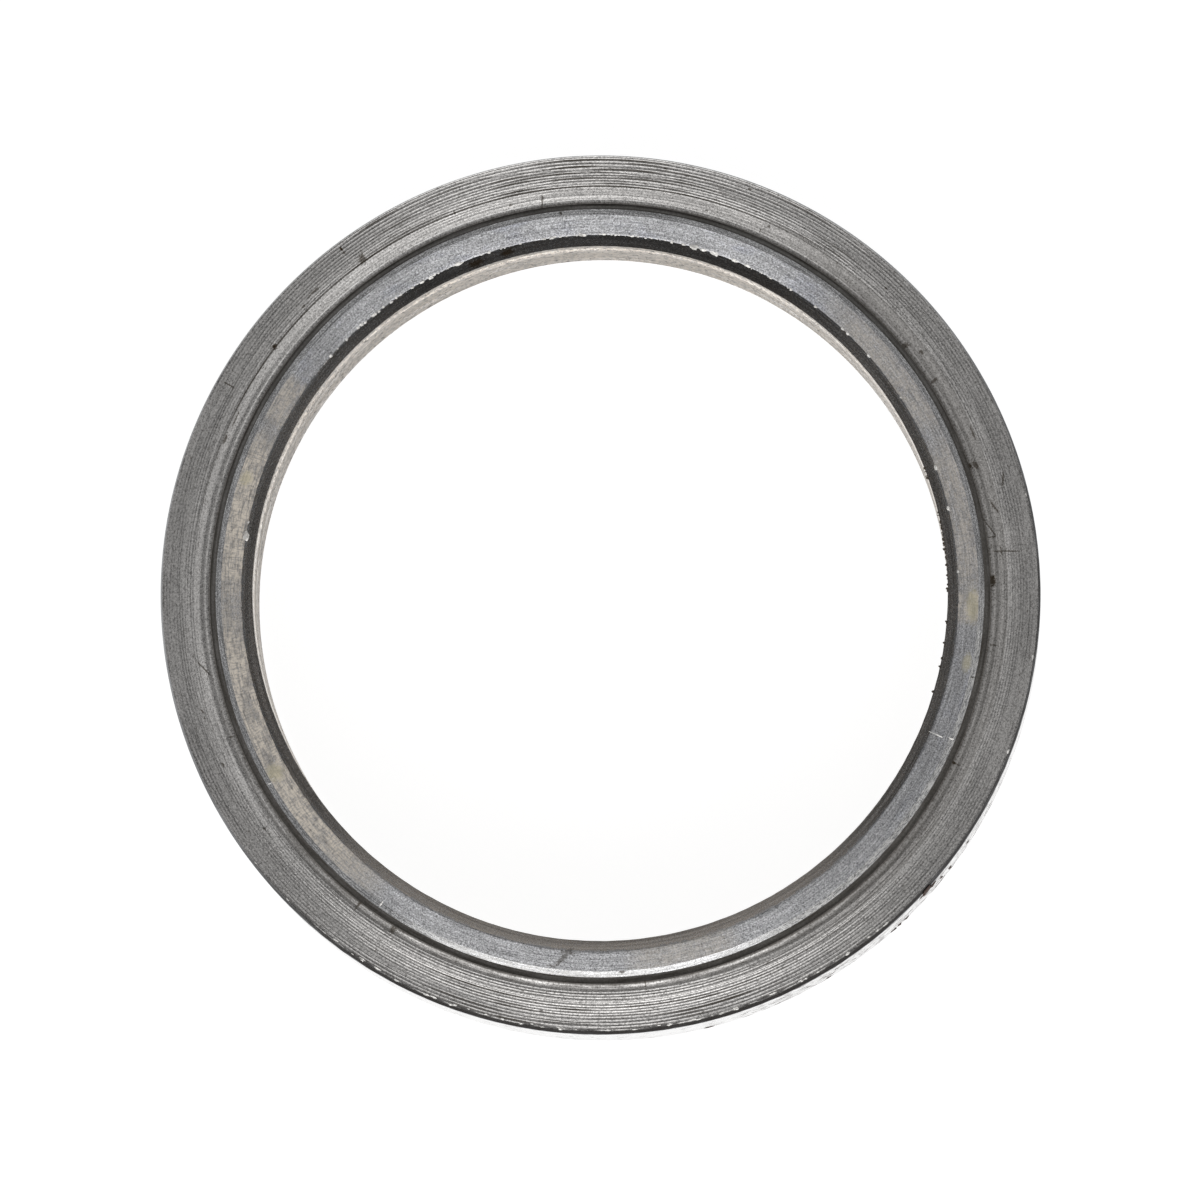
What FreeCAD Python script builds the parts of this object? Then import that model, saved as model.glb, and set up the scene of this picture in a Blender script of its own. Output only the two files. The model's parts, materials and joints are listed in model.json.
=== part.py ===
import FreeCAD, Part
import os

# Seal sleeve: a short steel sleeve that is pressed on a shaft and gives a seal lip a hard
# surface to run on. It is turned from one piece, so it is one solid.
# Millimetres. +Z is the axis of the bore, and the origin is the centre of the bottom end.

# Main sizes
BORE_RADIUS = 27.5
WALL = 7.35
HEIGHT = 22.0

# Lead-in at the mouth of the bore, for starting the sleeve on its shaft, and the broken edge
# between it and the land
LEAD_IN_WIDTH = 0.85
LEAD_IN_DEPTH = 1.0
EDGE_WIDTH = 0.09
EDGE_DEPTH = 0.045

# Raised land round the mouth, which is the highest face, and the bevel at its outer edge
LAND_WIDTH = 1.6
SHOULDER_WIDTH = 0.45
SHOULDER_DEPTH = 0.35

# Outer face, lower than the land, with a narrow groove at the foot of the land's wall
FACE_DROP = 1.4
GROOVE_WIDTH = 0.48
GROOVE_DEPTH = 0.6

# Hollow that a round nosed tool left in the face beside the groove's lip, and the gentle dish
# that runs out from it to the level of the face
GROOVE_LIP_WIDTH = 0.06
HOLLOW_WIDTH = 0.62
HOLLOW_DEPTH = 0.07
DISH_WIDTH = 0.645
DISH_DEPTH = 0.04

# Taper below the outer face, where a seal lip climbs on to the running surface
TAPER_WIDTH = 0.2
TAPER_HEIGHT = 2.4

# Small bevels at both edges of the bottom end
BOTTOM_BEVEL = 0.4

# Radii, from the bore outwards
LAND_INNER = BORE_RADIUS + LEAD_IN_WIDTH
LAND_OUTER = LAND_INNER + LAND_WIDTH
GROOVE_INNER = LAND_OUTER + SHOULDER_WIDTH
GROOVE_OUTER = GROOVE_INNER + GROOVE_WIDTH
HOLLOW_INNER = GROOVE_OUTER + GROOVE_LIP_WIDTH
HOLLOW_MIDDLE = HOLLOW_INNER + HOLLOW_WIDTH / 2
HOLLOW_OUTER = HOLLOW_INNER + HOLLOW_WIDTH
DISH_OUTER = HOLLOW_OUTER + DISH_WIDTH
OUTER_RADIUS = BORE_RADIUS + WALL
FACE_OUTER = OUTER_RADIUS - TAPER_WIDTH

# Heights, from the land downwards
FACE_TOP = HEIGHT - FACE_DROP
HOLLOW_FLOOR = FACE_TOP - DISH_DEPTH / 2 - HOLLOW_DEPTH
GROOVE_FLOOR = FACE_TOP - GROOVE_DEPTH
TAPER_FOOT = FACE_TOP - TAPER_HEIGHT


def point(radius, height):
    """A point of the half section, which lies in the XZ plane."""
    return FreeCAD.Vector(radius, 0, height)


def straight(*points):
    """Straight edges through the points in order."""
    return [Part.LineSegment(a, b).toShape() for a, b in zip(points, points[1:])]


def mouth_and_land():
    """Bore wall, lead-in, broken edge, land, and the bevel at the land's outer edge."""
    return straight(
        point(BORE_RADIUS, BOTTOM_BEVEL),
        point(BORE_RADIUS, HEIGHT - LEAD_IN_DEPTH),
        point(LAND_INNER, HEIGHT - EDGE_DEPTH),
        point(LAND_INNER + EDGE_WIDTH, HEIGHT),
        point(LAND_OUTER, HEIGHT),
        point(GROOVE_INNER, HEIGHT - SHOULDER_DEPTH),
    )


def land_wall_and_groove():
    """The land's outer wall, down to the floor of the groove and up to the outer face."""
    return straight(
        point(GROOVE_INNER, HEIGHT - SHOULDER_DEPTH),
        point(GROOVE_INNER, GROOVE_FLOOR),
        point(GROOVE_OUTER, GROOVE_FLOOR),
        point(GROOVE_OUTER, FACE_TOP),
        point(HOLLOW_INNER, FACE_TOP),
    )


def hollow_and_dish():
    """An arc, as the nose of the tool cut it, and the gentle rise out of it."""
    arc = Part.Arc(
        point(HOLLOW_INNER, FACE_TOP),
        point(HOLLOW_MIDDLE, HOLLOW_FLOOR),
        point(HOLLOW_OUTER, FACE_TOP - DISH_DEPTH),
    )
    rise = straight(point(HOLLOW_OUTER, FACE_TOP - DISH_DEPTH), point(DISH_OUTER, FACE_TOP))
    return [arc.toShape()] + rise


def face_and_outside():
    """Flat outer face, taper for the seal lip, and the straight running surface."""
    return straight(
        point(DISH_OUTER, FACE_TOP),
        point(FACE_OUTER, FACE_TOP),
        point(OUTER_RADIUS, TAPER_FOOT),
        point(OUTER_RADIUS, BOTTOM_BEVEL),
    )


def bottom_end():
    """Flat bottom face between its two small bevels, back to the bore."""
    return straight(
        point(OUTER_RADIUS, BOTTOM_BEVEL),
        point(OUTER_RADIUS - BOTTOM_BEVEL, 0),
        point(BORE_RADIUS + BOTTOM_BEVEL, 0),
        point(BORE_RADIUS, BOTTOM_BEVEL),
    )


def seal_sleeve():
    """The half section turned once round the axis."""
    top_end = mouth_and_land() + land_wall_and_groove() + hollow_and_dish()
    section = Part.Face(Part.Wire(top_end + face_and_outside() + bottom_end()))
    return section.revolve(FreeCAD.Vector(0, 0, 0), FreeCAD.Vector(0, 0, 1), 360)


os.makedirs("parts", exist_ok=True)
sleeve = seal_sleeve()
sleeve.exportStep("parts/seal_sleeve.step")
print("seal_sleeve", "valid", sleeve.isValid(), "volume", round(sleeve.Volume, 1), "mm3")
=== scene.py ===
import json
import math
import random
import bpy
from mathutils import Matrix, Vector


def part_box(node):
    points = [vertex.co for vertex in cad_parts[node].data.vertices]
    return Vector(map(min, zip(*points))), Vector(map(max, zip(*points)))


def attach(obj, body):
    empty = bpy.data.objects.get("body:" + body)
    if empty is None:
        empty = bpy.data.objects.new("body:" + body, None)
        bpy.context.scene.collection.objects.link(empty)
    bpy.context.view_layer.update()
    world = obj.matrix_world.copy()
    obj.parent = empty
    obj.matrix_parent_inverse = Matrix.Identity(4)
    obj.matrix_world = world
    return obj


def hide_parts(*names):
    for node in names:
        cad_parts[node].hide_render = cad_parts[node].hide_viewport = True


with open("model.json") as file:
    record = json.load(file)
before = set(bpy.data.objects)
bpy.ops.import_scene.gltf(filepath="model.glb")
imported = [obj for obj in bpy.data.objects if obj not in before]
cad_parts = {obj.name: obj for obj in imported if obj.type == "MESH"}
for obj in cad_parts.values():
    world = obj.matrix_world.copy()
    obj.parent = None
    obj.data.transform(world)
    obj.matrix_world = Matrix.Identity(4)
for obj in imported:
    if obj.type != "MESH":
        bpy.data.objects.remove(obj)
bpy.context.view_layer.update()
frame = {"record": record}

from types import SimpleNamespace

import bmesh
import bpy
from bpy.props import FloatProperty, FloatVectorProperty, IntProperty, PointerProperty
from mathutils import Matrix, Vector, noise

bl_info = {
    "name": "Seal sleeve",
    "version": (1, 0),
    "blender": (4, 5, 0),
    "location": "3D View > Sidebar > Sleeve",
    "description": "A turned steel seal sleeve with its tool marks, burrs, stains and studio",
    "category": "Object",
}

MM = 0.001
NODE = "seal_sleeve"

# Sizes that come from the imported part
MOUNTS = {mount["name"]: mount for mount in frame["record"]["mounts"]}
LOWEST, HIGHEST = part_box(NODE)
BORE_RADIUS = MOUNTS["shaft_bore"]["dims"]["r_mm"] * MM
OUTER_RADIUS = MOUNTS["seal_surface"]["dims"]["r_mm"] * MM
HEIGHT = HIGHEST.z - LOWEST.z
FACE_DROP = 1.4 * MM
TAPER_HEIGHT = 2.4 * MM
TAPER_FOOT = HEIGHT - FACE_DROP - TAPER_HEIGHT

# Finishes of the section, in the order of the mesh's material slots
FINISHES = ("bore", "lead_in", "land", "bevel", "groove", "face", "taper", "outside", "underside")

# Shares of a scallop's depth along it, as a round nosed tool leaves it: a cusp, then three rows
SCALLOP = (0.0, 0.75, 1.0, 0.75)

# How many marks of the fine feed lie on the dish, and how many on the face beyond it
DISH_MARKS = 3
FINE_MARKS = 6

# Radius that the grain of the patterns is measured at, and half the width of a sharp edge between two tones
TYPICAL_RADIUS_MM = 31.0
SHARP_EDGE_MM = 0.03

# Angles in this file are in degrees, anticlockwise from +X seen from above, and lists of marks are in mm.
# The spiral that the tool drew across the face as it was wound back: angle and radius.
WITHDRAWAL = ((-250, 31.50), (-90, 31.60), (-62, 31.77), (-38, 31.88), (0, 32.10), (26, 32.25),
              (46, 32.55), (70, 33.05), (90, 33.40), (104, 34.05), (112, 34.60))

# Burrs along the edge between land and lead-in: angle and length
LAND_BURRS = ((74.7, 0.62), (76.5, 0.22), (83.9, 0.2), (92.7, 0.34), (97.7, 0.34), (99.0, 0.24),
              (106.0, 0.16), (119.7, 0.34), (121.5, 0.2), (129.2, 0.32), (137.0, 0.14), (170.9, 0.62),
              (168.6, 0.2), (53.0, 0.22), (47.4, 0.24), (46.3, 0.24), (41.4, 0.26), (33.0, 0.16),
              (20.4, 0.34), (13.6, 0.28), (3.4, 0.2))

# Stretches of the same edge, and of the outer edge of the face, where the tool tore it all along: first and
# last angle, and how many bits
TORN_LAND_EDGE = (58, 143, 115)
TORN_RIM = (232, 314, 60)

# Torn bits on the outer edge of the face: angle and length
RIM_BURRS = ((13.1, 0.2), (351.6, 0.3), (338.8, 0.3), (304.4, 0.36), (297.5, 0.22), (288.2, 0.34),
             (286.0, 0.28), (283.0, 0.24), (279.0, 0.2), (274.5, 0.26), (264.8, 0.28), (262.4, 0.22),
             (259.6, 0.24), (250.0, 0.34), (246.5, 0.36), (242.2, 0.38), (237.0, 0.2), (224.4, 0.26),
             (218.0, 0.22))

# Bright scratches pushed up on the bevel and land: angle, radius, width and length along the radius
SCRATCHES = ((337.4, 30.1, 0.13, 0.45), (337.1, 29.3, 0.09, 1.7), (234.9, 30.05, 0.14, 0.42),
             (210.0, 30.1, 0.08, 0.4), (209.6, 29.7, 0.05, 0.3))

# Clumps of dark bits that hang on the bore's mouth: first and last angle, and how many
MOUTH_HAIRS = ((0.5, 14, 24), (19.5, 22, 4), (-16, -1, 6))

# Crusts of rust on the running surface: angle, height, width and how tall
RUST_FLAKES = ((317.9, 18.0, 1.3, 3.0), (318.3, 16.2, 1.5, 2.8), (317.5, 14.7, 0.9, 2.2),
               (318.9, 14.5, 0.5, 2.6), (319.1, 17.4, 0.6, 1.4), (316.8, 16.4, 0.5, 1.0),
               (311.6, 2.6, 0.8, 0.9), (312.6, 3.2, 0.4, 0.7), (313.8, 3.0, 0.5, 0.6),
               (322.4, 8.0, 0.4, 1.0), (320.6, 10.5, 0.35, 0.8), (326.4, 9.0, 0.3, 0.8),
               (301.0, 3.5, 0.4, 0.5), (284.0, 3.0, 0.9, 0.3))

# Stains on the face, groove and bevel: angle, radius, half size round the axis, half size along the radius,
# and how far they lean where they do
FACE_STAINS = (
    (157.5, 32.1, 0.4, 0.09), (154.3, 32.0, 0.7, 0.05), (150.6, 33.7, 0.05, 0.45),
    (142.8, 32.36, 0.25, 0.2), (135.9, 32.7, 0.14, 0.1), (133.4, 32.95, 0.5, 0.08), (125.4, 32.5, 0.3, 0.3),
    (125.1, 32.6, 0.09, 0.42, -14), (126.9, 34.15, 0.08, 0.12), (126.9, 33.8, 0.08, 0.1),
    (110.9, 32.3, 0.07, 0.18), (103.0, 31.58, 0.12, 0.1), (98.4, 31.4, 0.06, 0.62, -9),
    (69.7, 34.15, 0.12, 0.08), (81.2, 34.05, 0.1, 0.1), (46.9, 33.1, 0.16, 0.08), (65.3, 32.0, 0.1, 0.1),
    (66.2, 31.4, 0.06, 0.14), (36.9, 31.8, 0.2, 0.13), (39.1, 31.1, 0.2, 0.26), (32.5, 31.3, 0.12, 0.3),
    (23.3, 32.1, 0.5, 0.07), (18.9, 31.35, 0.34, 0.2, 20), (19.0, 30.95, 0.2, 0.18),
    (15.7, 33.1, 0.55, 0.07, -17), (12.5, 31.9, 0.5, 0.08, 22), (9.6, 31.25, 0.05, 0.95, -63),
    (8.2, 31.35, 0.05, 0.32), (5.95, 32.2, 0.06, 1.2, -6), (6.0, 31.9, 0.3, 0.06),
    (352.5, 31.4, 0.05, 0.26), (334.4, 31.2, 0.07, 0.3), (197.5, 32.8, 0.1, 0.05), (276.6, 31.0, 0.05, 0.6),
    (347.2, 30.2, 0.06, 0.14), (273.4, 30.0, 0.2, 0.12), (238.4, 31.3, 0.2, 0.3), (232.2, 31.1, 0.1, 0.5),
    (190.8, 31.86, 0.06, 0.78, -58), (201.2, 31.2, 0.06, 0.26), (204.4, 32.75, 0.16, 0.07),
    (196.5, 32.8, 0.2, 0.06, 30), (215.0, 32.4, 0.1, 0.12), (237.8, 33.3, 0.05, 0.16),
    (95.9, 30.2, 0.12, 0.13))

# The darkest stains of the face, most of them beside the groove, as above
DARK_STAINS = ((1.9, 31.05, 0.42, 0.26), (334.4, 31.0, 0.12, 0.16), (19.0, 30.95, 0.12, 0.1),
               (142.8, 32.4, 0.14, 0.12), (126.9, 34.15, 0.08, 0.1))

# Yellow drops of old oil on the land, as above
OIL_DROPS = ((358.0, 29.5, 1.1, 0.4), (349.2, 29.55, 0.6, 0.3), (209.0, 29.35, 0.6, 0.55),
             (162.0, 29.4, 0.5, 0.4))

# Stains on the land and the lead-in, as above
LAND_STAINS = ((264.3, 29.0, 0.17, 0.85, -38), (264.9, 28.55, 0.5, 0.18), (262.5, 29.75, 0.3, 0.06),
               (110.6, 27.9, 0.5, 0.25), (105.2, 27.95, 0.45, 0.22))

# Patches of dried oil on the land: angle at the middle and half width in degrees, and how thick
OIL_PATCHES = ((206, 24, 1.0), (168, 13, 1.0), (149, 4, 0.7), (38, 12, 0.45), (12, 12, 0.5),
               (357.8, 2.5, 0.7), (283, 8, 0.35))


def linear(hex_colour):
    """An sRGB hex colour such as "#b0a898" as the linear values that shaders take."""
    parts = [int(hex_colour[i:i + 2], 16) / 255 for i in (1, 3, 5)]
    return [c / 12.92 if c <= 0.04045 else ((c + 0.055) / 1.055) ** 2.4 for c in parts]


def length(name, description, default):
    """A property that holds a length in metres."""
    return FloatProperty(name=name, description=description, default=default, min=0, precision=5,
                         unit="LENGTH")


def colour(name, description, hex_colour):
    """A property that holds a colour."""
    return FloatVectorProperty(name=name, description=description, default=linear(hex_colour), size=3,
                               min=0, max=1, subtype="COLOR")


class SleeveSizes(bpy.types.PropertyGroup):
    """Sizes of the turned section and of its tool marks"""

    bore_radius: length("Bore radius", "Radius of the straight bore", BORE_RADIUS)
    outer_radius: length("Outer radius", "Radius of the straight running surface", OUTER_RADIUS)
    height: length("Height", "From the bottom end to the land", HEIGHT)
    lead_in_width: length("Lead-in width", "Radial width of the lead-in at the bore's mouth", 0.85 * MM)
    lead_in_depth: length("Lead-in depth", "Depth of the lead-in at the bore's mouth", 1.0 * MM)
    land_width: length("Land width", "Radial width of the flat land round the mouth", 1.6 * MM)
    bevel_width: length("Bevel width", "Radial width of the bevel outside the land", 0.45 * MM)
    bevel_depth: length("Bevel depth", "Depth of the bevel outside the land", 0.35 * MM)
    face_drop: length("Face drop", "How far the outer face lies below the land", FACE_DROP)
    groove_width: length("Groove width", "Width of the groove at the foot of the land's wall", 0.48 * MM)
    groove_depth: length("Groove depth", "Depth of that groove below the outer face", 0.6 * MM)
    lip_width: length("Groove lip width", "Flat between the groove and the hollow", 0.06 * MM)
    hollow_width: length("Hollow width", "Width of the shallow hollow beside the groove", 0.62 * MM)
    hollow_depth: length("Hollow depth", "Depth of that hollow below the dish", 0.07 * MM)
    dish_depth: length("Dish depth", "How low the face is where it dips towards the hollow", 0.04 * MM)
    edge_width: length("Edge width", "Width of the broken edge between lead-in and land", 0.09 * MM)
    edge_depth: length("Edge depth", "Depth of that broken edge", 0.045 * MM)
    taper_width: length("Taper width", "Radial width of the taper for the seal lip", 0.2 * MM)
    taper_height: length("Taper height", "Height of the taper for the seal lip", TAPER_HEIGHT)
    bottom_bevel: length("Bottom bevel", "Bevel at both edges of the bottom end", 0.4 * MM)
    fine_feed: length("Fine feed", "Spacing of the tool marks on the inner part of the face", 0.215 * MM)
    coarse_feed: length("Coarse feed", "Spacing of the tool marks on the outer part of the face", 0.253 * MM)
    mark_depth: length("Tool mark depth", "Depth of a tool mark between two cusps", 0.038 * MM)
    wedges: IntProperty(name="Wedges", description="Equal wedges of the turned mesh", default=16, min=3)
    steps: IntProperty(name="Steps", description="Steps of each wedge round the axis", default=45, min=2)


class SleeveColours(bpy.types.PropertyGroup):
    """Colours of the steel and of what lies on it"""

    turned: colour("Turned steel", "Steel as the tool left it", "#b4b2b0")
    faced: colour("Faced steel", "Fine faced steel of the land", "#b7b7b9")
    bevelled: colour("Bevelled steel", "Steel of the bevel outside the land", "#c1c1c2")
    ground: colour("Ground steel", "Plunge ground running surface", "#dad9d8")
    bored: colour("Bored steel", "Bore wall under a beige film", "#a3978a")
    # It also colours the lead-in, partly as painted shade, and the painted shade on the bore's +Y side
    dark: colour("Darkened steel", "Steel under a thin dark film", "#8b8c8e")
    oil: colour("Dried oil", "Thin dried oil on the land", "#e9dfd1")
    drop: colour("Oil drop", "Yellow drops of old oil on the land", "#cdc4a0")
    clean: colour("Clean patch", "Tint of the clean, slightly blue patches of the land", "#f3f5fd")
    # Also the groove's almost black colour, which is partly painted shade
    grime_and_shade: colour("Grime", "Old oil and grinding dust", "#453c2e")
    soot: colour("Film", "Dark film on the lead-in", "#2c2b2b")
    # Also the faint painted shade on the bore's +Y side
    stain_and_shade: colour("Stain", "Brown stains of old oil on the face", "#382e1f")
    rust: colour("Rust", "Brown rust", "#3d271b")
    scale: colour("Rust scale", "Brown black rust under the rim", "#1d1713")
    # Near white: it paints the burrs' glints, and the bevel's painted highlight
    torn: colour("Torn steel", "Bright steel of a fresh burr", "#f6f4f0")


class StageSettings(bpy.types.PropertyGroup):
    """Camera, lamps and floor"""

    distance: length("Camera distance", "From the land to the camera", 2.18)
    view_width: length("View width", "Width that the image spans at the land", 94.86 * MM)
    tilt: FloatProperty(name="Tilt", description="Lean of the camera from straight above",
                        default=math.radians(2.56), subtype="ANGLE")
    heading: FloatProperty(name="Heading", description="Direction that the camera leans in, from +X",
                           default=math.radians(-70.6), subtype="ANGLE")
    front_lamp: FloatProperty(name="Front lamp", description="Power of the large soft lamp on the -Y side",
                              default=14.4, min=0, unit="POWER")
    top_lamp: FloatProperty(name="Top lamp", description="Power of the soft lamp overhead",
                            default=1.4, min=0, unit="POWER")
    room: FloatProperty(name="Room light", description="Strength of the even light", default=0.3, min=0)


def radii(sizes):
    """Radii of the section's corners, named from the bore outwards."""
    at = SimpleNamespace(land_inner=sizes.bore_radius + sizes.lead_in_width)
    at.land_outer = at.land_inner + sizes.land_width
    at.groove_inner = at.land_outer + sizes.bevel_width
    at.groove_outer = at.groove_inner + sizes.groove_width
    at.hollow_inner = at.groove_outer + sizes.lip_width
    at.hollow_outer = at.hollow_inner + sizes.hollow_width
    at.fine_start = at.hollow_outer + DISH_MARKS * sizes.fine_feed
    at.coarse_start = at.fine_start + FINE_MARKS * sizes.fine_feed
    at.face_outer = sizes.outer_radius - sizes.taper_width
    return at


def section(sizes):
    """The turned section as stretches, from the foot of the bore round to it again: radius and height of
    the first corner, the finish, the number of rows and the depth of the tool marks."""
    at = radii(sizes)
    rows = len(SCALLOP)
    coarse_rows = round((at.face_outer - at.coarse_start) / sizes.coarse_feed * rows)
    face = sizes.height - sizes.face_drop
    groove_floor = face - sizes.groove_depth
    return [
        (sizes.bore_radius, sizes.bottom_bevel, "bore", 8, 0),
        (sizes.bore_radius, sizes.height - sizes.lead_in_depth, "lead_in", 5, 0),
        (at.land_inner, sizes.height - sizes.edge_depth, "land", 2, 0),
        (at.land_inner + sizes.edge_width, sizes.height, "land", 7, 0),
        (at.land_outer, sizes.height, "bevel", 3, 0),
        (at.groove_inner, sizes.height - sizes.bevel_depth, "groove", 3, 0),
        (at.groove_inner, groove_floor, "groove", 2, 0),
        (at.groove_outer, groove_floor, "groove", 2, 0),
        (at.groove_outer, face, "face", 1, 0),
        (at.hollow_inner, face, "face", 8, 0),
        (at.hollow_outer, face - sizes.dish_depth, "face", DISH_MARKS * rows, sizes.mark_depth),
        (at.fine_start, face, "face", FINE_MARKS * rows, sizes.mark_depth),
        (at.coarse_start, face, "face", coarse_rows, sizes.mark_depth),
        (at.face_outer, face, "taper", 3, 0),
        (sizes.outer_radius, face - sizes.taper_height, "outside", 6, 0),
        (sizes.outer_radius, sizes.bottom_bevel, "underside", 1, 0),
        (sizes.outer_radius - sizes.bottom_bevel, 0, "underside", 8, 0),
        (sizes.bore_radius + sizes.bottom_bevel, 0, "underside", 1, 0),
    ]


def draw_section(bm, sizes, row_layer, cut_layer):
    """Draws the section in the XZ plane, numbers its rows, notes how deep a tool mark is cut at each, and
    returns the finish that follows each row."""
    stretches = section(sizes)
    finishes = []
    last = None
    for index, (radius, height, finish, rows, mark_depth) in enumerate(stretches):
        start = Vector((radius, 0, height))
        end_radius, end_height = stretches[(index + 1) % len(stretches)][:2]
        end = Vector((end_radius, 0, end_height))
        for row in range(rows):
            vert = bm.verts.new(start.lerp(end, row / rows))
            vert[row_layer] = len(finishes)
            vert[cut_layer] = mark_depth * SCALLOP[row % len(SCALLOP)]
            finishes.append(FINISHES.index(finish))
            if last:
                bm.edges.new((last, vert))
            last = vert
    bm.verts.ensure_lookup_table()
    bm.edges.new((last, bm.verts[0]))
    return finishes


def sink_hollow(bm, sizes):
    """Lowers the rows of the hollow, which is steeper at the groove's lip than towards the dish."""
    inner = radii(sizes).hollow_inner
    # An exponent below 1 puts the deepest point nearer to the groove
    steepness = 0.85
    for vert in bm.verts:
        share = (vert.co.x - inner) / sizes.hollow_width
        if 0 < share < 1 and vert.co.z > sizes.height / 2:
            vert.co.z -= sizes.hollow_depth * math.sin(math.pi * share ** steepness)


def withdrawal_radius(angle):
    """Radius in metres of the withdrawal spiral at an angle, or None past its ends."""
    for (a, radius_a), (b, radius_b) in zip(WITHDRAWAL, WITHDRAWAL[1:]):
        for turned in (angle, angle - 360):
            if a <= turned <= b:
                return (radius_a + (radius_b - radius_a) * (turned - a) / (b - a)) * MM
    return None


def cut_marks(bm, sizes, cut_layer):
    """Cuts the tool marks, uneven in depth and almost gone on the smooth dish, and the withdrawal spiral.
    The layer then holds each mark's depth as a share of the full depth, for the steel's material."""
    at = radii(sizes)
    ring_width = 0.2 * MM
    track_width = 0.11 * MM
    track_depth = 0.022 * MM
    # The first mark outside the dish is cut deepest, and most of all at its angle
    deep_mark = (at.fine_start + 0.02 * MM, at.fine_start + 0.13 * MM)
    deep_angle = 112
    smooth_angle = 100
    for vert in bm.verts:
        radius = vert.co.xy.length
        if not at.hollow_outer < radius < at.face_outer or vert.co.z < sizes.height / 2:
            continue
        angle = math.degrees(math.atan2(vert.co.y, vert.co.x))
        outwards = Vector((vert.co.x, vert.co.y, 0)).normalized()
        ring = Vector((0, 0, round(radius / ring_width)))
        uneven = 1 + 0.6 * noise.noise(outwards * 4 + ring * 7.3) + 0.8 * noise.noise(outwards * 7 + ring)
        uneven += 0.15 * noise.noise(outwards * 45 + ring)
        # The marks are deepest on the +Y and -Y sides
        depth = vert[cut_layer] * max(0.2, uneven) * (0.35 + 0.65 * abs(outwards.y) ** 2.5)
        if deep_mark[0] < radius < deep_mark[1]:
            depth = sizes.mark_depth * 1.5 * max(0.1, math.cos(math.radians(angle - deep_angle)))
        if radius < at.fine_start:
            smooth = min(1, max(0, 0.75 + 0.9 * math.cos(math.radians(angle - smooth_angle))))
            depth *= 1 - 0.72 * smooth
            lift = (at.fine_start - radius) / (at.fine_start - at.hollow_outer) * sizes.dish_depth
            depth -= lift * 0.7 * (1 - smooth)
        track = withdrawal_radius(angle)
        if track is not None and abs(radius - track) < track_width:
            depth = depth * 0.5 + track_depth * (1 - ((radius - track) / track_width) ** 2)
        torn = 0.004 * MM * noise.noise(vert.co * 4000)
        vert.co.z -= depth + torn
        vert.co.z = min(vert.co.z, sizes.height - sizes.face_drop)
        vert[cut_layer] = max(0, depth) / sizes.mark_depth


def wear_edges(bm, sizes):
    """Dents the edges of the land, the bore's mouth and the rim of the face a little. Each edge is given by
    its radius and height, the depth of its dents, and their frequency in the noise."""
    at = radii(sizes)
    near = 0.005 * MM
    dented = (
        (at.land_inner, sizes.height - sizes.edge_depth, 0.035 * MM, 3900),
        (at.land_inner + sizes.edge_width, sizes.height, 0.05 * MM, 4300),
        (at.land_outer, sizes.height, 0.02 * MM, 900),
        (at.face_outer, sizes.height - sizes.face_drop, 0.012 * MM, 1500),
        (sizes.bore_radius, sizes.height - sizes.lead_in_depth, 0.015 * MM, 1500))
    for vert in bm.verts:
        radius = vert.co.xy.length
        for edge_radius, edge_height, size, frequency in dented:
            if abs(radius - edge_radius) < near and abs(vert.co.z - edge_height) < near:
                outwards = Vector((vert.co.x, vert.co.y, 0)).normalized()
                vert.co.z -= 0.4 * size * abs(noise.noise(vert.co * frequency * 1.7))
                vert.co += outwards * size * noise.noise(vert.co * frequency)


def shade_by_finish(bm, row_layer, finishes):
    """Gives each face the finish of its row, and marks the edges that the tool left sharp."""
    for face in bm.faces:
        rows = {vert[row_layer] for vert in face.verts}
        closes_section = max(rows) - min(rows) > 1
        face.material_index = finishes[max(rows) if closes_section else min(rows)]
        face.smooth = True
    for edge in bm.edges:
        edge.smooth = edge.calc_face_angle(0) < math.radians(16)


def new_object(context, name, bm, materials):
    """Makes the finished mesh an object at the origin."""
    mesh = bpy.data.meshes.new(name)
    bm.to_mesh(mesh)
    bm.free()
    for material in materials:
        mesh.materials.append(material)
    made = bpy.data.objects.new(name, mesh)
    context.collection.objects.link(made)
    return made


def new_piece(context, name, bm, materials):
    """An object that rides on the sleeve's body."""
    piece = new_object(context, name, bm, materials)
    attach(piece, "root")
    return piece


class OBJECT_OT_sleeve_body(bpy.types.Operator):
    """Turns the section into the sleeve, with its tool marks and worn edges"""

    bl_idname = "object.sleeve_body"
    bl_label = "Sleeve body"
    bl_options = {"REGISTER", "UNDO"}

    def execute(self, context):
        sizes = context.scene.sleeve_sizes
        bm = bmesh.new()
        row_layer = bm.verts.layers.int.new("row")
        cut_layer = bm.verts.layers.float.new("cut")
        finishes = draw_section(bm, sizes, row_layer, cut_layer)
        sink_hollow(bm, sizes)
        wedge = math.tau / sizes.wedges
        about = {"cent": (0, 0, 0), "axis": (0, 0, 1), "use_merge": False}
        bmesh.ops.spin(bm, geom=bm.verts[:] + bm.edges[:], angle=wedge, steps=sizes.steps, **about)
        bmesh.ops.spin(bm, geom=bm.verts[:] + bm.edges[:] + bm.faces[:], angle=math.tau - wedge,
                       steps=sizes.wedges - 1, use_duplicate=True, **about)
        bmesh.ops.remove_doubles(bm, verts=bm.verts, dist=0.0005 * MM)
        cut_marks(bm, sizes, cut_layer)
        wear_edges(bm, sizes)
        bmesh.ops.recalc_face_normals(bm, faces=bm.faces)
        shade_by_finish(bm, row_layer, finishes)
        colours = context.scene.sleeve_colours
        makers = {"bore": bored_steel, "lead_in": lead_in_steel, "land": faced_steel, "bevel": bevel_steel,
                  "groove": grime_and_shade_steel, "face": coarse_turned_steel, "taper": rusted_steel,
                  "outside": ground_steel, "underside": plain_turned_steel}
        body = new_piece(context, "sleeve_body", bm, [makers[finish](colours) for finish in FINISHES])
        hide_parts(NODE)
        return {"FINISHED"}


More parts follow.
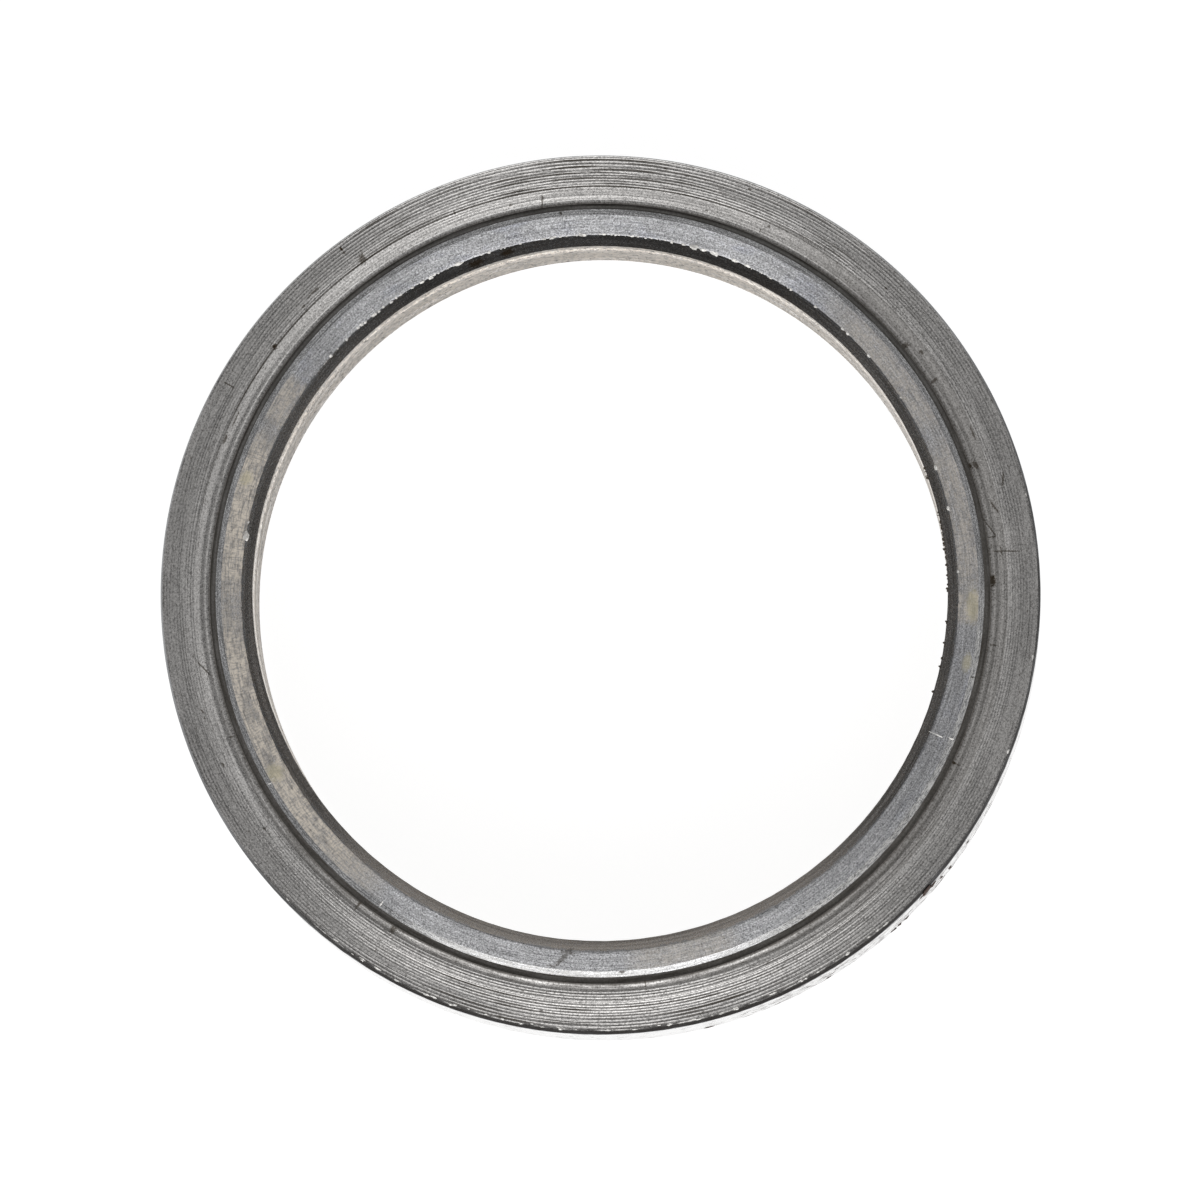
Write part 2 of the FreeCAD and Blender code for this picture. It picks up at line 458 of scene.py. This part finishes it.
def sliver(bm, place, size, seed, material=0, lean=0):
    """One torn bit of steel: a small ball of uneven facets, scaled to its size and moved to its place, which
    is its radius, angle and height. Its size is along the radius, round the axis and upwards, and it leans
    outwards by the given degrees."""
    radius, angle, height = place
    before = len(bm.faces)
    bit = bmesh.ops.create_icosphere(bm, subdivisions=2, radius=0.5)["verts"]
    for vert in bit:
        vert.co *= 1 + 0.9 * noise.noise(vert.co * 3 + Vector((0, 0, seed)))
    bmesh.ops.scale(bm, vec=size, verts=bit)
    bmesh.ops.rotate(bm, cent=(0, 0, 0), matrix=Matrix.Rotation(math.radians(lean), 3, "Y"), verts=bit)
    bmesh.ops.translate(bm, vec=(radius, 0, height), verts=bit)
    bmesh.ops.rotate(bm, cent=(0, 0, 0), matrix=Matrix.Rotation(math.radians(angle), 3, "Z"), verts=bit)
    bm.faces.ensure_lookup_table()
    for face in bm.faces[before:]:
        face.material_index = material


def spread(stretch, draw):
    """Angles spread unevenly over a stretch, which is its first and last angle and how many there are."""
    first, last, count = stretch
    step = (last - first) / count
    return [first + step * (number + draw.uniform(-0.7, 0.7)) for number in range(count)]


class OBJECT_OT_edge_burrs(bpy.types.Operator):
    """Adds the torn bits of steel along the land's inner edge, the rim of the face and the bore's mouth"""

    bl_idname = "object.edge_burrs"
    bl_label = "Edge burrs"
    bl_options = {"REGISTER", "UNDO"}

    def execute(self, context):
        sizes = context.scene.sleeve_sizes
        colours = context.scene.sleeve_colours
        draw = random.Random(7)
        land_inner = radii(sizes).land_inner
        rim = radii(sizes).face_outer - 0.06 * MM
        face = sizes.height - sizes.face_drop
        mouth = sizes.height - sizes.lead_in_depth
        bm = bmesh.new()
        for angle in spread(TORN_LAND_EDGE, draw):
            size = Vector((0.8, draw.uniform(0.7, 1.8), 0.3)) * 0.36 * draw.uniform(0.2, 1) ** 2 * MM
            tooth = (land_inner + draw.uniform(-0.05, 0.04) * MM, angle, sizes.height - 0.035 * MM)
            sliver(bm, tooth, size, angle, lean=draw.uniform(-34, -18))
        for angle in spread(TORN_RIM, draw):
            size = Vector((0.6, draw.uniform(0.8, 3.0), 0.25)) * 0.26 * draw.uniform(0.2, 1) ** 2 * MM
            tooth = (rim - draw.uniform(0, 0.12) * MM, angle, face)
            sliver(bm, tooth, size, angle, lean=draw.uniform(10, 34))
        for angle, burr in LAND_BURRS:
            size = Vector((0.9 * draw.uniform(0.7, 1), 1.5 * draw.uniform(0.7, 1), 0.5)) * burr * MM
            sliver(bm, (land_inner, angle, sizes.height - 0.02 * MM), size, angle, lean=-24)
        for angle, burr in RIM_BURRS:
            size = Vector((0.55 * draw.uniform(0.7, 1), 1.5 * draw.uniform(0.7, 1), 0.3)) * burr * MM
            sliver(bm, (rim, angle, face), size, angle, lean=24)
        for angle, radius, wide, long in SCRATCHES:
            size = Vector((long, wide, 0.06)) * MM
            sliver(bm, (radius * MM, angle, sizes.height), size, angle, lean=10)
        for stretch in MOUTH_HAIRS:
            for angle in spread(stretch, draw):
                size = Vector((draw.uniform(0.08, 0.34), draw.uniform(0.06, 0.26), 0.1)) * MM
                sliver(bm, (sizes.bore_radius, angle, mouth), size, angle, material=1)
        new_piece(context, "edge_burrs", bm, [torn_glint_steel(colours), oily_swarf(colours)])
        return {"FINISHED"}


class OBJECT_OT_rust_flakes(bpy.types.Operator):
    """Adds the crusts of rust on the running surface"""

    bl_idname = "object.rust_flakes"
    bl_label = "Rust flakes"
    bl_options = {"REGISTER", "UNDO"}

    def execute(self, context):
        sizes = context.scene.sleeve_sizes
        bm = bmesh.new()
        for angle, height, wide, tall in RUST_FLAKES:
            size = Vector((0.16, wide, tall)) * MM
            sliver(bm, (sizes.outer_radius, angle, height * MM), size, angle)
        new_piece(context, "rust_flakes", bm, [rust_crust(context.scene.sleeve_colours)])
        return {"FINISHED"}


def feed(node, inputs):
    """Sets a node's inputs, by name or number, to values or to other nodes' outputs."""
    for key, source in inputs.items():
        if isinstance(source, bpy.types.NodeSocket):
            node.id_data.links.new(source, node.inputs[key])
        else:
            node.inputs[key].default_value = source


def add(tree, kind, inputs=(), take=0, **settings):
    """Adds one node and returns one of its outputs. Its inputs are given in the order of its sockets, or by
    their names or numbers."""
    node = tree.nodes.new("ShaderNode" + kind)
    for key, value in settings.items():
        setattr(node, key, value)
    feed(node, inputs if isinstance(inputs, dict) else dict(enumerate(inputs)))
    return node.outputs[take]


def new_material(name, kind="BsdfPrincipled"):
    """A new material with nothing but one shader, which is returned with it."""
    material = bpy.data.materials.new(name)
    material.use_nodes = True
    tree = material.node_tree
    tree.nodes.clear()
    surface = add(tree, kind)
    feed(tree.nodes.new("ShaderNodeOutputMaterial"), {"Surface": surface})
    return material, surface.node


class CutSteel:
    """Bare cut steel: a grey metal with streaks along the tool's path and a fine torn grain. A finish then
    tints, lightens or covers it in places.

    A place is a mask from 0 to 1, and is given as what has to hold there. Sectors are angles round the axis
    with their half widths in degrees and, if it isn't 1, how strong each is; the strongest counts. A ring is
    its inner and outer radius and its edges' half width in mm. A noise is its grain (see the noise method),
    and the range of its values that is spread from 0 to 1 or to another range. Stains are rows of the lists
    at the top of this file. Masks are other masks, and most is the largest value."""

    def __init__(self, name, base, roughness, anisotropy, streak, contrast, grain, relief_mm,
                 grain_mm=(0.17, 0.13), falls=False):
        """The streaks and the torn grain have their sizes in mm, round the axis and across the tool's path,
        and contrast and grain are how much they change the colour. The bevel falls outwards."""
        self.material, self.shader = new_material(name)
        self.tree = tree = self.material.node_tree
        self.place = add(tree, "TexCoord", take="Object")
        flat = add(tree, "VectorMath", (self.place, (1, 1, 0)), operation="MULTIPLY")
        self.outwards = add(tree, "VectorMath", (flat,), operation="NORMALIZE")
        self.radius = add(tree, "VectorMath", (flat,), "Value", operation="LENGTH")
        self.height = add(tree, "SeparateXYZ", (self.place,), "Z")
        # Patterns run on the direction from the axis as X and Y, and on the distance along the section as Z
        along = add(tree, "Math", (self.radius, self.height), operation="SUBTRACT" if falls else "ADD")
        split = add(tree, "SeparateXYZ", (self.outwards,)).node.outputs
        self.turned = add(tree, "CombineXYZ", (split["X"], split["Y"], along))
        streaks = self.noise(*streak)
        self.torn = self.noise(*grain_mm, 2.0, 0.8)
        clouds = self.noise(7.0, 2.0, 2.0, 0.5)
        tone = self.where(masks=(
            add(tree, "MapRange", (streaks, 0.3, 0.7, 1 - contrast, 1 + contrast)),
            add(tree, "MapRange", (self.torn, 0.34, 0.66, 1 - grain, 1 + grain)),
            add(tree, "MapRange", (clouds, 0.3, 0.7, 0.92, 1.08))))
        self.steel = add(tree, "VectorMath", {0: tuple(base), "Scale": tone}, operation="SCALE")
        self.rough = add(tree, "MapRange", (self.torn, 0.3, 0.7, roughness - 0.06, roughness + 0.08))
        self.metal = 1.0
        uneven = add(tree, "Math", (streaks, 0.5, self.torn), operation="MULTIPLY_ADD")
        # The gloss is drawn out across the tool marks, so the tangent is turned to run along the radius
        feed(self.shader, {
            "Metallic": self.metal, "Anisotropic": anisotropy, "Anisotropic Rotation": 0.25,
            "Tangent": add(tree, "Tangent", direction_type="RADIAL", axis="Z"),
            "Normal": add(tree, "Bump", {"Height": uneven, "Strength": 1.0, "Distance": relief_mm * MM}),
            "Base Color": self.steel, "Roughness": self.rough})

    def noise(self, round_mm, across_mm, detail=3.0, roughness=0.6):
        """Noise from 0 to 1 whose grains are as long round the axis and across the tool's path as given."""
        round_scale = TYPICAL_RADIUS_MM / round_mm
        scale = (round_scale, round_scale, 1 / (across_mm * MM))
        vector = add(self.tree, "VectorMath", (self.turned, scale), operation="MULTIPLY")
        return add(self.tree, "TexNoise", {"Vector": vector, "Scale": 1.0, "Detail": detail,
                                           "Roughness": roughness})

    def in_sectors(self, sectors):
        """The strongest of some sectors, each of which fades out over a part of its width."""
        strongest = 0.0
        for angle, half_width, *strength in sectors:
            turn = math.radians(angle)
            middle = (math.cos(turn), math.sin(turn), 0)
            towards = add(self.tree, "VectorMath", (self.outwards, middle), "Value", operation="DOT_PRODUCT")
            outside = math.cos(math.radians(half_width * 1.2))
            inside = math.cos(math.radians(half_width * 0.7))
            one = add(self.tree, "MapRange", (towards, outside, inside, 0.0, *strength))
            strongest = add(self.tree, "Math", (one, strongest), operation="MAXIMUM")
        return strongest

    def on_stains(self, stains):
        """1 on the stains and 0 off them, with an edge made ragged by the torn grain."""
        nearest = 10.0
        for angle, radius, half_round, half_across, *lean in stains:
            turn = math.radians(angle)
            centre = (radius * MM * math.cos(turn), radius * MM * math.sin(turn), 0)
            rotation = (0, 0, turn + math.radians(sum(lean)))
            size = (half_across * MM, half_round * MM, 1)
            local = add(self.tree, "Mapping", (self.place, centre, rotation, size), vector_type="TEXTURE")
            away = add(self.tree, "VectorMath", (local,), "Value", operation="LENGTH")
            nearest = add(self.tree, "Math", (away, nearest), operation="MINIMUM")
        edge = add(self.tree, "MapRange", (self.torn, 0.3, 0.7, -0.45, 0.45))
        ragged = add(self.tree, "Math", (nearest, edge), operation="ADD")
        return add(self.tree, "MapRange", (ragged, 1.5, 0.75))

    def where(self, sectors=(), ring=None, noise=None, stains=(), masks=(), most=1.0):
        """The mask of a place."""
        masks = list(masks)
        if sectors:
            masks.append(self.in_sectors(sectors))
        if ring:
            inner, outer, soft = ring if len(ring) == 3 else (*ring, SHARP_EDGE_MM)
            masks.append(add(self.tree, "MapRange", (self.radius, (inner - soft) * MM, (inner + soft) * MM)))
            masks.append(add(self.tree, "MapRange", (self.radius, (outer + soft) * MM, (outer - soft) * MM)))
        if noise:
            grain, spread_over = noise
            masks.append(add(self.tree, "MapRange", (self.noise(*grain), *spread_over)))
        if stains:
            masks.append(self.on_stains(stains))
        if most < 1:
            masks.append(most)
        mask = masks[0]
        for other in masks[1:]:
            mask = add(self.tree, "Math", (mask, other), operation="MULTIPLY")
        return mask

    def one_but(self, value, **place):
        """1 everywhere, but the given value in a place."""
        return add(self.tree, "MapRange", (self.where(**place), 0.0, 1.0, 1.0, value))

    def lighten(self, factor, **place):
        """Multiplies the steel's colour by the factor in a place, so a factor below 1 darkens it."""
        scale = self.one_but(factor, **place)
        self.steel = add(self.tree, "VectorMath", {0: self.steel, "Scale": scale}, operation="SCALE")
        feed(self.shader, {"Base Color": self.steel})

    def tint(self, colour_value, blend_type="MIX", **place):
        """Gives the steel another colour in a place, where it keeps its gloss, as when oil soaks in."""
        self.steel = add(self.tree, "Mix", {0: self.where(**place), 6: self.steel, 7: (*colour_value, 1)}, 2,
                         data_type="RGBA", blend_type=blend_type)
        feed(self.shader, {"Base Color": self.steel})

    def cover(self, colour_value, roughness, **place):
        """Covers the steel, and what already lies on it, with a dull film in a place."""
        mask = self.where(**place)
        bare = add(self.tree, "Math", (1.0, mask), operation="SUBTRACT", use_clamp=True)
        self.metal = add(self.tree, "Math", (bare, self.metal), operation="MULTIPLY")
        self.rough = add(self.tree, "Mix", {0: mask, 2: self.rough, 3: roughness}, data_type="FLOAT")
        feed(self.shader, {"Roughness": self.rough, "Metallic": self.metal})
        self.tint(colour_value, masks=[mask])


def coarse_turned_steel(colours):
    """Medium carbon steel, coarse turned: grey, with torn streaks between the cut marks and brown stains."""
    steel = CutSteel("coarse_turned_steel", colours.turned, roughness=0.26, anisotropy=0.6,
                     streak=(5.0, 0.1), contrast=0.12, grain=0.5, relief_mm=0.006, grain_mm=(0.15, 0.11))
    # Painted shade: the outer part of the face is darker on the +X and -X sides
    sides = ((12, 74), (180, 70))
    steel.lighten(0.7, sectors=sides, ring=(32.8, 36.0, 0.5))
    # Painted highlight and shade: towards the -Y side, where the front lamp stands, the inner part of the
    # face is lighter and the outer part darker
    steel.lighten(1.22, sectors=[(270, 36)], ring=(32.1, 33.4, 0.25))
    steel.lighten(0.86, sectors=[(270, 36)], ring=(33.6, 36.0, 0.25))
    # Painted highlight: the face is lighter on the +Y side
    steel.lighten(1.12, sectors=[(90, 32)], ring=(32.1, 36.0))
    # Painted highlights and shade: the dish and the hollow are lighter on the +Y side, with a thin bright
    # line in the hollow there; on the +X and -X sides the hollow is darker and a ring beyond it lighter; and
    # a streaky strip of the hollow is lighter on the -Y side
    steel.lighten(1.45, sectors=[(98, 42)], ring=(30.9, 32.2), noise=((14.0, 0.11, 1.0), (0.36, 0.64)))
    steel.lighten(0.82, sectors=sides, ring=(31.3, 31.62))
    steel.lighten(1.1, sectors=sides, ring=(31.8, 32.0))
    steel.lighten(1.6, sectors=[(100, 55)], ring=(31.2, 31.28))
    bright_streaks = (3.0, 0.12, 3.0, 0.7)
    steel.lighten(1.6, sectors=[(270, 34)], ring=(31.06, 31.28), noise=(bright_streaks, (0.35, 0.6)))
    # A dull brown cover darkens the hollow and dish on the +X side, the hollow on the -Y side between the
    # bright streaks, and the groove's lip all round
    steel.cover(colours.stain_and_shade, 0.4, sectors=[(2, 66)], ring=(30.9, 32.3), most=0.28)
    steel.cover(colours.stain_and_shade, 0.4, sectors=[(262, 68)], ring=(30.9, 31.5),
                noise=(bright_streaks, (0.35, 0.6, 0.5, 0.1)))
    steel.cover(colours.stain_and_shade, 0.5, ring=(30.8, 31.0), most=0.6)
    # Old oil in the deepest marks
    cut = add(steel.tree, "Attribute", take="Fac", attribute_name="cut")
    deepest = add(steel.tree, "MapRange", (cut, 0.75, 1.15))
    steel.cover(colours.stain_and_shade, 0.5, masks=[deepest], noise=((6.0, 0.4, 2.0), (0.3, 0.6, 0.3, 1.0)))
    # Old oil in the grains that the tool tore out
    steel.cover(colours.stain_and_shade, 0.5, noise=((0.5, 0.13, 2.0), (0.64, 0.72, 0.0, 0.6)))
    # Rust that has come over the rim on the -Y side
    steel.cover(colours.scale, 0.7, sectors=[(268, 48)], ring=(34.5, 35.0),
                noise=((1.2, 0.16, 2.0), (0.42, 0.58, 0.0, 0.75)))
    steel.tint(colours.stain_and_shade, stains=FACE_STAINS, most=0.72)
    steel.tint(colours.stain_and_shade, stains=DARK_STAINS, most=0.95)
    return steel.material


def faced_steel(colours):
    """The land, fine faced: paler and smoother steel under patches of dried oil."""
    steel = CutSteel("faced_steel", colours.faced, roughness=0.36, anisotropy=0.86, streak=(4.0, 0.1),
                     contrast=0.34, grain=0.64, relief_mm=0.006, grain_mm=(0.14, 0.1))
    # Painted highlight and shade: the land is lighter on the +Y side and darker on the side between -Y and
    # +X
    steel.lighten(1.12, sectors=[(90, 38)])
    steel.lighten(0.88, sectors=[(305, 58)])
    steel.tint(colours.clean, "MULTIPLY", sectors=((100, 78), (333, 18)),
               noise=((3.0, 1.2), (0.5, 0.7, 0.0, 0.8)))
    patches = steel.where(sectors=OIL_PATCHES)
    steel.cover(colours.stain_and_shade, 0.5, masks=[patches], most=0.38)
    # Dried oil lies thickest in blots, between the tool's rings and across them
    blots = steel.where(noise=((2.2, 0.9, 2.0), (0.36, 0.5, 0.5, 1.0)))
    rings = steel.where(noise=((1.0, 0.12, 2.0, 0.7), (0.38, 0.54, 0.35, 1.0)))
    rays = steel.where(noise=((0.16, 0.5, 2.0, 0.7), (0.38, 0.54, 0.45, 1.0)))
    steel.cover(colours.oil, 0.45, masks=(rings, rays, blots, patches))
    steel.cover(colours.drop, 0.4, stains=OIL_DROPS, most=0.5)
    steel.cover(colours.grime_and_shade, 0.6, stains=LAND_STAINS, most=0.55)
    return steel.material


def bevel_steel(colours):
    """The bevel outside the land: steel as turned, smoother than the face."""
    steel = CutSteel("bevel_steel", colours.bevelled, roughness=0.22, anisotropy=0.5, streak=(3.0, 0.14),
                     contrast=0.5, grain=0.5, relief_mm=0.006, falls=True)
    # Painted highlight: the bevel is lighter, in streaks, on the -Y side
    steel.lighten(1.35, sectors=[(268, 38)], noise=((4.0, 0.22, 3.0, 0.7), (0.38, 0.55)))
    # Painted highlight: pale and dull where the highlight starts, towards the -Y side
    steel.cover(colours.torn, 0.45, sectors=((325, 34), (262, 20)),
                noise=((0.5, 0.12, 2.0, 0.7), (0.4, 0.6, 0.0, 0.6)))
    steel.tint(colours.stain_and_shade, stains=FACE_STAINS, most=0.8)
    return steel.material


def lead_in_steel(colours):
    """The lead-in, turned and darkened by old oil and painted shade: charcoal with faint rings, with a
    painted reflection on the -Y side.
    """
    steel = CutSteel("lead_in_steel", colours.dark, roughness=0.2, anisotropy=0.3, streak=(12.0, 0.3),
                     contrast=0.4, grain=0.35, relief_mm=0.002)
    # Painted reflection: the -Y side takes the bevel's colour and lighter streaks
    clean = [(270, 45)]
    steel.tint(colours.bevelled, sectors=clean)
    steel.lighten(1.5, sectors=clean, noise=((14.0, 0.3, 2.0, 0.7), (0.35, 0.6)))
    # Painted shade: it is darkest on the +Y side, and on the -Y side darker towards the bore
    steel.lighten(0.4, sectors=[(90, 42)])
    steel.lighten(0.7, sectors=clean, ring=(27.0, 27.95, 0.4))
    steel.cover(colours.soot, 0.5, noise=((5.0, 0.2), (0.25, 0.75, 0.0, 0.2)))
    steel.tint(colours.stain_and_shade, stains=LAND_STAINS, most=0.85)
    return steel.material


def grime_and_shade_steel(colours):
    """The groove and the wall above it, full of old oil and dust and painted shade: almost black, with
    little gloss.
    """
    steel = CutSteel("grime_and_shade_steel", colours.turned, roughness=0.45, anisotropy=0.3, streak=(4.0, 0.12),
                     contrast=0.25, grain=0.3, relief_mm=0.006)
    # Painted shade in the corners: on the +Y side the middle of the groove's floor is left lighter than its
    # corners
    corners = steel.one_but(0.45, sectors=[(100, 75)], ring=(30.56, 30.74, 0.06))
    steel.cover(colours.grime_and_shade, 0.7, masks=[corners], noise=((3.0, 0.25), (0.25, 0.75, 0.4, 0.85)))
    return steel.material


def bored_steel(colours):
    """The bore wall: bored steel under a beige film of oil, with rings from boring and dark flecks."""
    steel = CutSteel("bored_steel", colours.bored, roughness=0.16, anisotropy=0.2, streak=(9.0, 1.6),
                     contrast=0.6, grain=0.6, relief_mm=0.008, grain_mm=(0.3, 2.0))
    # A band below the mouth is rubbed clean and shines
    above = add(steel.tree, "MapRange", (steel.height, HEIGHT - 8.5 * MM, HEIGHT - 6.0 * MM))
    below = add(steel.tree, "MapRange", (steel.height, HEIGHT - 2.6 * MM, HEIGHT - 4.0 * MM))
    bright_streaks = steel.where(masks=(above, below), noise=((5.0, 2.5), (0.35, 0.55, 0.65, 1.0)))
    steel.lighten(2.8, masks=[bright_streaks])
    steel.cover(colours.oil, 0.55, masks=[steel.one_but(0.1, masks=[bright_streaks])],
                noise=((12.0, 1.5, 3.0, 0.7), (0.4, 0.56, 0.1, 0.85)))
    # Painted shade: it is darker and duller on the +Y side, where the camera sees it, also under a faint
    # brown cover
    steel.cover(colours.dark, 0.6, sectors=[(105, 80)], noise=((0.4, 1.8, 3.0, 0.7), (0.46, 0.6, 0.0, 0.5)))
    steel.cover(colours.stain_and_shade, 0.6, sectors=[(115, 48)], most=0.16)
    steel.cover(colours.scale, 0.7, noise=((0.5, 1.6, 4.0, 0.8), (0.58, 0.63)))
    return steel.material


def rusted_steel(colours):
    """The taper under the rim, where a brown black rust has taken hold, thickest on the -Y side."""
    steel = CutSteel("rusted_steel", colours.dark, roughness=0.4, anisotropy=0.3, streak=(3.0, 0.3),
                     contrast=0.15, grain=0.3, relief_mm=0.004)
    # The rust ends in a ragged line at the taper's foot
    teeth = steel.noise(1.2, 0.6)
    ragged = add(steel.tree, "Math", (teeth, -1.2 * MM, steel.height), operation="MULTIPLY_ADD")
    above_foot = add(steel.tree, "MapRange", (ragged, TAPER_FOOT - 0.45 * MM, TAPER_FOOT - 0.2 * MM))
    spared = steel.one_but(0.2, sectors=[(120, 95)])
    steel.cover(colours.scale, 0.75, masks=(above_foot, spared), noise=((2.5, 1.0), (0.25, 0.5, 0.3, 0.9)))
    steel.cover(colours.scale, 0.8, sectors=[(272, 42)], masks=[above_foot],
                noise=((1.4, 0.5), (0.3, 0.5, 0.55, 0.9)))
    feed(steel.shader, {"Specular IOR Level": 0.1})
    return steel.material


def ground_steel(colours):
    """The running surface, plunge ground: smooth, with fine rings and small specks of rust all round."""
    steel = CutSteel("ground_steel", colours.ground, roughness=0.16, anisotropy=0.4, streak=(10.0, 0.5),
                     contrast=0.08, grain=0.12, relief_mm=0.002)
    # The specks crowd round the crusts of rust
    crowd = steel.where(sectors=[(312, 26, 0.09)])
    spots = add(steel.tree, "Math", (steel.noise(0.9, 0.7), crowd), operation="ADD")
    steel.cover(colours.rust, 0.7, masks=[add(steel.tree, "MapRange", (spots, 0.62, 0.7))])
    return steel.material


def plain_turned_steel(colours):
    """The bottom end, plainly turned."""
    return CutSteel("plain_turned_steel", colours.turned, roughness=0.36, anisotropy=0.5, streak=(4.0, 0.2),
                    contrast=0.1, grain=0.2, relief_mm=0.004).material


def grained(name, base, grain_mm, darkest, lightest):
    """A material whose colour varies from grain to grain, its shader and its grains."""
    material, shader = new_material(name)
    tree = material.node_tree
    place = add(tree, "TexCoord", take="Object")
    grains = add(tree, "TexNoise", {"Vector": place, "Scale": 1 / (grain_mm * MM)})
    tone = add(tree, "MapRange", (grains, 0.3, 0.7, darkest, lightest))
    feed(shader, {"Base Color": add(tree, "VectorMath", {0: tuple(base), "Scale": tone}, operation="SCALE")})
    return material, shader, grains


def torn_glint_steel(colours):
    """Fresh torn burrs: bright steel, painted near white and partly diffuse, so its broken facets show as
    painted glints to all sides.
    """
    material, shader, facets = grained("torn_glint_steel", colours.torn, 1 / 9, 0.92, 1.08)
    rough = add(material.node_tree, "MapRange", (facets, 0.3, 0.7, 0.3, 0.5))
    feed(shader, {"Metallic": 0.6, "Roughness": rough})
    return material


def crumbly(name, base, grain_mm, roughness):
    """A dull material that is uneven from grain to grain."""
    material, shader, grains = grained(name, base, grain_mm, 0.5, 1.8)
    bump = add(material.node_tree, "Bump", {"Height": grains, "Strength": 1.0, "Distance": 0.05 * MM})
    feed(shader, {"Roughness": roughness, "Normal": bump})
    return material


def oily_swarf(colours):
    """Bits of oily lint and swarf at the bore's mouth: almost black."""
    return crumbly("oily_swarf", colours.grime_and_shade, 0.1, 0.6)


def rust_crust(colours):
    """Loose iron oxide: brown, rough and without gloss."""
    return crumbly("rust_crust", colours.rust, 0.2, 0.85)


class OBJECT_OT_studio(bpy.types.Operator):
    """Sets up the pale floor, the soft lamps, the room's light and the camera"""

    bl_idname = "object.studio"
    bl_label = "Studio"
    bl_options = {"REGISTER", "UNDO"}

    def execute(self, context):
        stage = context.scene.sleeve_stage
        self.lay_floor(context)
        aim = Vector((0, 0, context.scene.sleeve_sizes.height))
        self.hang_lamp(context, "front_lamp", stage.front_lamp, aim,
                       place=Vector((0, -1.2, 1.15)), size=(1.6, 1.9))
        self.hang_lamp(context, "top_lamp", stage.top_lamp, aim, place=Vector((0, 0, 1.9)), size=(0.9, 0.9))
        world = bpy.data.worlds.new("room")
        world.use_nodes = True
        background = world.node_tree.nodes["Background"]
        background.inputs["Color"].default_value = (1, 1, 1, 1)
        background.inputs["Strength"].default_value = stage.room
        context.scene.world = world
        self.place_camera(context, stage, aim)
        context.scene.view_settings.view_transform = "Standard"
        return {"FINISHED"}

    def lay_floor(self, context):
        """A large white floor under the sleeve."""
        floor_size = 3.0
        bm = bmesh.new()
        bmesh.ops.create_grid(bm, x_segments=4, y_segments=4, size=floor_size)
        new_object(context, "floor", bm, [self.white_board()])

    def white_board(self):
        """Lit white board: it shows as white to the camera and in the metal, and keeps a faint shadow."""
        material, surface = new_material("lit_white_board", "AddShader")
        tree = material.node_tree
        glow = 0.91
        grey = 0.3
        rays = add(tree, "LightPath").node.outputs
        seen = add(tree, "Math", (rays["Is Camera Ray"], rays["Is Glossy Ray"]), operation="MAXIMUM")
        seen = add(tree, "Math", (seen, rays["Is Transmission Ray"]), operation="MAXIMUM")
        strength = add(tree, "Math", (seen, glow), operation="MULTIPLY")
        board = add(tree, "BsdfDiffuse", {"Color": (grey, grey, grey, 1)})
        light = add(tree, "Emission", {"Color": (1, 1, 1, 1), "Strength": strength})
        feed(surface, {0: board, 1: light})
        return material

    def hang_lamp(self, context, name, power, aim, place, size):
        """A soft rectangular lamp that the camera doesn't see."""
        lamp = bpy.data.lights.new(name, "AREA")
        lamp.shape = "RECTANGLE"
        lamp.size, lamp.size_y = size
        lamp.energy = power
        holder = bpy.data.objects.new(name, lamp)
        holder.location = place
        holder.rotation_euler = (aim - place).to_track_quat("-Z", "Y").to_euler()
        holder.visible_camera = False
        context.collection.objects.link(holder)

    def place_camera(self, context, stage, aim):
        """A camera far above, leaning a little, with the image's upright side along +Y."""
        # The sleeve's axis isn't quite in the middle of the image
        view_centre = Vector((0.016 * MM, -0.57 * MM, aim.z))
        back = Vector((math.sin(stage.tilt) * math.cos(stage.heading),
                       math.sin(stage.tilt) * math.sin(stage.heading), math.cos(stage.tilt)))
        right = Vector((0, 1, 0)).cross(back).normalized()
        up = back.cross(right)
        camera = bpy.data.cameras.new("camera")
        camera.sensor_width = 36
        camera.lens = camera.sensor_width * stage.distance / stage.view_width
        camera.clip_end = 50
        holder = bpy.data.objects.new("camera", camera)
        turn = Matrix((right, up, back)).transposed().to_4x4()
        holder.matrix_world = Matrix.Translation(view_centre + back * stage.distance) @ turn
        context.collection.objects.link(holder)
        context.scene.camera = holder


class VIEW3D_PT_sleeve(bpy.types.Panel):
    """Sizes, colours and stage of the seal sleeve, and its operators"""

    bl_idname = "VIEW3D_PT_sleeve"
    bl_label = "Seal sleeve"
    bl_space_type = "VIEW_3D"
    bl_region_type = "UI"
    bl_category = "Sleeve"

    def draw(self, context):
        for group in (context.scene.sleeve_sizes, context.scene.sleeve_colours, context.scene.sleeve_stage):
            box = self.layout.box()
            for key in group.__annotations__:
                box.prop(group, key)
        for operator in OPERATORS:
            self.layout.operator(operator.bl_idname)


OPERATORS = (OBJECT_OT_sleeve_body, OBJECT_OT_edge_burrs, OBJECT_OT_rust_flakes, OBJECT_OT_studio)
CLASSES = (SleeveSizes, SleeveColours, StageSettings, *OPERATORS, VIEW3D_PT_sleeve)


def register():
    for cls in CLASSES:
        bpy.utils.register_class(cls)
    bpy.types.Scene.sleeve_sizes = PointerProperty(type=SleeveSizes)
    bpy.types.Scene.sleeve_colours = PointerProperty(type=SleeveColours)
    bpy.types.Scene.sleeve_stage = PointerProperty(type=StageSettings)


def unregister():
    del bpy.types.Scene.sleeve_stage
    del bpy.types.Scene.sleeve_colours
    del bpy.types.Scene.sleeve_sizes
    for cls in reversed(CLASSES):
        bpy.utils.unregister_class(cls)


def main():
    """Builds every piece and the studio."""
    register()
    bpy.ops.object.sleeve_body()
    bpy.ops.object.edge_burrs()
    bpy.ops.object.rust_flakes()
    bpy.ops.object.studio()


if __name__ == "__main__":
    main()
